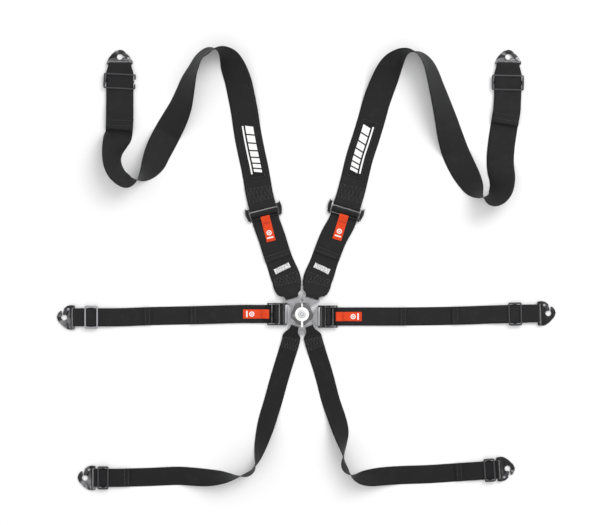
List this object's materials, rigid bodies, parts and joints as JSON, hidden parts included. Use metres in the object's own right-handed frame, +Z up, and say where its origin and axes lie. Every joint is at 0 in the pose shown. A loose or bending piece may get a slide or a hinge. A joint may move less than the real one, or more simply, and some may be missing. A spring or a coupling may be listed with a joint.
{
  "type": "racing harness",
  "caption": "Racing harness laid out flat: rotary release buckle with a sprung latch, tongues, tilt-lock adjusters with pull tabs, strap slides and gated snap hooks.",
  "frame": {"origin": "centre of the buckle's flat back, on the surface the laid-out harness rests on", "axes": "+X to the right-hand lap strap's hook, +Y towards the shoulder hooks, +Z up out of the buckle's front"},
  "size_m": [1.3956, 1.2407, 0.0772],
  "materials": {
    "webbing": "woven polyester webbing, charcoal",
    "tab_orange": "woven webbing, orange",
    "black_steel": "black coated pressed steel, semi-gloss",
    "bright_steel": "satin plated steel",
    "housing_grey": "grey anodised casting, satin",
    "knob_white": "white, satin",
    "badge_grey": "satin silver disc with a plain ring"
  },
  "bodies": {
    "buckle": {"buckle_base": "black_steel", "buckle_housing": "housing_grey", "latch_spring": "bright_steel"},
    "release": {"release_knob": "knob_white", "knob_badge": "badge_grey", "release_cam": "bright_steel", "spindle": "bright_steel"},
    "latch": {"latch_plate": "bright_steel"},
    "shoulder_left": {"shoulder_tongue_left": "bright_steel", "lower_strap_left": "webbing", "shoulder_roller_left": "black_steel", "shoulder_strap_left": "webbing"},
    "shoulder_right": {"shoulder_tongue_right": "bright_steel", "lower_strap_right": "webbing", "shoulder_roller_right": "black_steel", "shoulder_strap_right": "webbing"},
    "lap_left": {"lap_tongue_left": "bright_steel", "lap_strap_left": "webbing", "lap_roller_left": "black_steel"},
    "lap_right": {"lap_tongue_right": "bright_steel", "lap_strap_right": "webbing", "lap_roller_right": "black_steel"},
    "crotch": {"crotch_tongue": "bright_steel", "crotch_spacer": "bright_steel", "crotch_strap_left": "webbing", "crotch_strap_right": "webbing"},
    "shoulder_adjuster_left": {"shoulder_adjuster_left": "black_steel"},
    "shoulder_tab_left": {"shoulder_tab_left": "tab_orange"},
    "shoulder_adjuster_right": {"shoulder_adjuster_right": "black_steel"},
    "shoulder_tab_right": {"shoulder_tab_right": "tab_orange"},
    "lap_adjuster_left": {"lap_adjuster_left": "black_steel"},
    "lap_tab_left": {"lap_tab_left": "tab_orange"},
    "lap_adjuster_right": {"lap_adjuster_right": "black_steel"},
    "lap_tab_right": {"lap_tab_right": "tab_orange"},
    "shoulder_left_slide": {"shoulder_left_slide": "black_steel"},
    "shoulder_left_hook": {"shoulder_left_hook": "black_steel", "shoulder_left_gate_rivet": "bright_steel"},
    "shoulder_left_gate": {"shoulder_left_gate": "black_steel"},
    "shoulder_right_slide": {"shoulder_right_slide": "black_steel"},
    "shoulder_right_hook": {"shoulder_right_hook": "black_steel", "shoulder_right_gate_rivet": "bright_steel"},
    "shoulder_right_gate": {"shoulder_right_gate": "black_steel"},
    "lap_left_slide": {"lap_left_slide": "black_steel"},
    "lap_left_hook": {"lap_left_hook": "black_steel", "lap_left_gate_rivet": "bright_steel"},
    "lap_left_gate": {"lap_left_gate": "black_steel"},
    "lap_right_slide": {"lap_right_slide": "black_steel"},
    "lap_right_hook": {"lap_right_hook": "black_steel", "lap_right_gate_rivet": "bright_steel"},
    "lap_right_gate": {"lap_right_gate": "black_steel"},
    "crotch_left_slide": {"crotch_left_slide": "black_steel"},
    "crotch_left_hook": {"crotch_left_hook": "black_steel", "crotch_left_gate_rivet": "bright_steel"},
    "crotch_left_gate": {"crotch_left_gate": "black_steel"},
    "crotch_right_slide": {"crotch_right_slide": "black_steel"},
    "crotch_right_hook": {"crotch_right_hook": "black_steel", "crotch_right_gate_rivet": "bright_steel"},
    "crotch_right_gate": {"crotch_right_gate": "black_steel"}
  },
  "joints": [
    {"name": "release_turn", "type": "hinge", "parent": "buckle", "child": "release", "pos_m": [0, 0, 0.0209], "axis": [0, 0, 1], "range_deg": [0, 45], "stiffness_Nm_per_rad": 0.4},
    {"name": "latch_lift", "type": "slide", "parent": "buckle", "child": "latch", "axis": [0, 0, 1], "range_m": [0, 0.002], "deforming": ["latch_spring"]},
    {"name": "shoulder_left_tongue_slide", "type": "slide", "parent": "buckle", "child": "shoulder_left", "axis": [-0.5592, 0.829, 0], "range_m": [0, 0.03]},
    {"name": "shoulder_right_tongue_slide", "type": "slide", "parent": "buckle", "child": "shoulder_right", "axis": [0.5592, 0.829, 0], "range_m": [0, 0.03]},
    {"name": "lap_left_tongue_slide", "type": "slide", "parent": "buckle", "child": "lap_left", "axis": [-1, 0, 0], "range_m": [0, 0.03]},
    {"name": "lap_right_tongue_slide", "type": "slide", "parent": "buckle", "child": "lap_right", "axis": [1, 0, 0], "range_m": [0, 0.03]},
    {"name": "crotch_tongue_slide", "type": "slide", "parent": "buckle", "child": "crotch", "axis": [0, -1, 0], "range_m": [0, 0.03]},
    {"name": "shoulder_adjuster_left_tilt", "type": "hinge", "parent": "shoulder_left", "child": "shoulder_adjuster_left", "pos_m": [-0.1099, 0.2981, 0.0049], "axis": [-0.9699, -0.2436, 0], "range_deg": [0, 30]},
    {"name": "shoulder_tab_left_lift", "type": "hinge", "parent": "shoulder_adjuster_left", "child": "shoulder_tab_left", "pos_m": [-0.1032, 0.27143, 0.008], "axis": [-0.9699, -0.2436, 0], "range_deg": [0, 70]},
    {"name": "shoulder_adjuster_right_tilt", "type": "hinge", "parent": "shoulder_right", "child": "shoulder_adjuster_right", "pos_m": [0.1255, 0.3014, 0.0049], "axis": [-0.9568, 0.2907, 0], "range_deg": [0, 30]},
    {"name": "shoulder_tab_right_lift", "type": "hinge", "parent": "shoulder_adjuster_right", "child": "shoulder_tab_right", "pos_m": [0.11751, 0.27509, 0.008], "axis": [-0.9568, 0.2907, 0], "range_deg": [0, 70]},
    {"name": "lap_adjuster_left_tilt", "type": "hinge", "parent": "lap_left", "child": "lap_adjuster_left", "pos_m": [-0.045, 0, 0.007], "axis": [0, 1, 0], "range_deg": [0, 30]},
    {"name": "lap_tab_left_lift", "type": "hinge", "parent": "lap_adjuster_left", "child": "lap_tab_left", "pos_m": [-0.095, 0, 0.008], "axis": [0, 1, 0], "range_deg": [0, 70]},
    {"name": "lap_adjuster_right_tilt", "type": "hinge", "parent": "lap_right", "child": "lap_adjuster_right", "pos_m": [0.0475, -0.007, 0.007], "axis": [0, -1, 0], "range_deg": [0, 30]},
    {"name": "lap_tab_right_lift", "type": "hinge", "parent": "lap_adjuster_right", "child": "lap_tab_right", "pos_m": [0.0975, -0.007, 0.008], "axis": [0, -1, 0], "range_deg": [0, 70]},
    {"name": "shoulder_left_slide_travel", "type": "slide", "parent": "shoulder_left", "child": "shoulder_left_slide", "axis": [0, -1, 0], "range_m": [0, 0.025]},
    {"name": "shoulder_left_hook_tilt", "type": "hinge", "parent": "shoulder_left", "child": "shoulder_left_hook", "pos_m": [-0.51, 0.7, 0.0049], "axis": [1, 0, 0], "range_deg": [0, 60]},
    {"name": "shoulder_left_gate_swing", "type": "hinge", "parent": "shoulder_left_hook", "child": "shoulder_left_gate", "pos_m": [-0.4858, 0.7149, 0.0036], "axis": [0, 0, 1], "range_deg": [0, 35], "stiffness_Nm_per_rad": 0.02},
    {"name": "shoulder_right_slide_travel", "type": "slide", "parent": "shoulder_right", "child": "shoulder_right_slide", "axis": [-0.0175, -0.9998, 0], "range_m": [0, 0.025]},
    {"name": "shoulder_right_hook_tilt", "type": "hinge", "parent": "shoulder_right", "child": "shoulder_right_hook", "pos_m": [0.5765, 0.7, 0.0049], "axis": [0.9998, -0.0175, 0], "range_deg": [0, 60]},
    {"name": "shoulder_right_gate_swing", "type": "hinge", "parent": "shoulder_right_hook", "child": "shoulder_right_gate", "pos_m": [0.60096, 0.71447, 0.0036], "axis": [0, 0, 1], "range_deg": [0, 35], "stiffness_Nm_per_rad": 0.02},
    {"name": "lap_left_slide_travel", "type": "slide", "parent": "lap_left", "child": "lap_left_slide", "axis": [1, 0, 0], "range_m": [0, 0.025]},
    {"name": "lap_left_hook_tilt", "type": "hinge", "parent": "lap_left", "child": "lap_left_hook", "pos_m": [-0.637, -0.009, 0.0049], "axis": [0, 1, 0], "range_deg": [0, 60]},
    {"name": "lap_left_gate_swing", "type": "hinge", "parent": "lap_left_hook", "child": "lap_left_gate", "pos_m": [-0.6539, 0.0135, 0.0036], "axis": [0, 0, 1], "range_deg": [0, 35], "stiffness_Nm_per_rad": 0.02},
    {"name": "lap_right_slide_travel", "type": "slide", "parent": "lap_right", "child": "lap_right_slide", "axis": [-0.9997, -0.0262, 0], "range_m": [0, 0.025]},
    {"name": "lap_right_hook_tilt", "type": "hinge", "parent": "lap_right", "child": "lap_right_hook", "pos_m": [0.661, 0.002, 0.0049], "axis": [0.0262, -0.9997, 0], "range_deg": [0, 60]},
    {"name": "lap_right_gate_swing", "type": "hinge", "parent": "lap_right_hook", "child": "lap_right_gate", "pos_m": [0.67731, 0.02493, 0.0036], "axis": [0, 0, -1], "range_deg": [0, 35], "stiffness_Nm_per_rad": 0.02},
    {"name": "crotch_left_slide_travel", "type": "slide", "parent": "crotch", "child": "crotch_left_slide", "axis": [1, 0, 0], "range_m": [0, 0.025]},
    {"name": "crotch_left_hook_tilt", "type": "hinge", "parent": "crotch", "child": "crotch_left_hook", "pos_m": [-0.579, -0.458, 0.0049], "axis": [0, 1, 0], "range_deg": [0, 60]},
    {"name": "crotch_left_gate_swing", "type": "hinge", "parent": "crotch_left_hook", "child": "crotch_left_gate", "pos_m": [-0.5959, -0.4355, 0.0036], "axis": [0, 0, 1], "range_deg": [0, 35], "stiffness_Nm_per_rad": 0.02},
    {"name": "crotch_right_slide_travel", "type": "slide", "parent": "crotch", "child": "crotch_right_slide", "axis": [-0.9976, -0.0698, 0], "range_m": [0, 0.025]},
    {"name": "crotch_right_hook_tilt", "type": "hinge", "parent": "crotch", "child": "crotch_right_hook", "pos_m": [0.547, -0.435, 0.0049], "axis": [0.0698, -0.9976, 0], "range_deg": [0, 60]},
    {"name": "crotch_right_gate_swing", "type": "hinge", "parent": "crotch_right_hook", "child": "crotch_right_gate", "pos_m": [0.56543, -0.45627, 0.0036], "axis": [0, 0, 1], "range_deg": [0, 35], "stiffness_Nm_per_rad": 0.02}
  ],
  "couplings": [
    {"joint": "latch_lift", "follows": "release_turn", "m_per_rad": 0.002546}
  ]
}
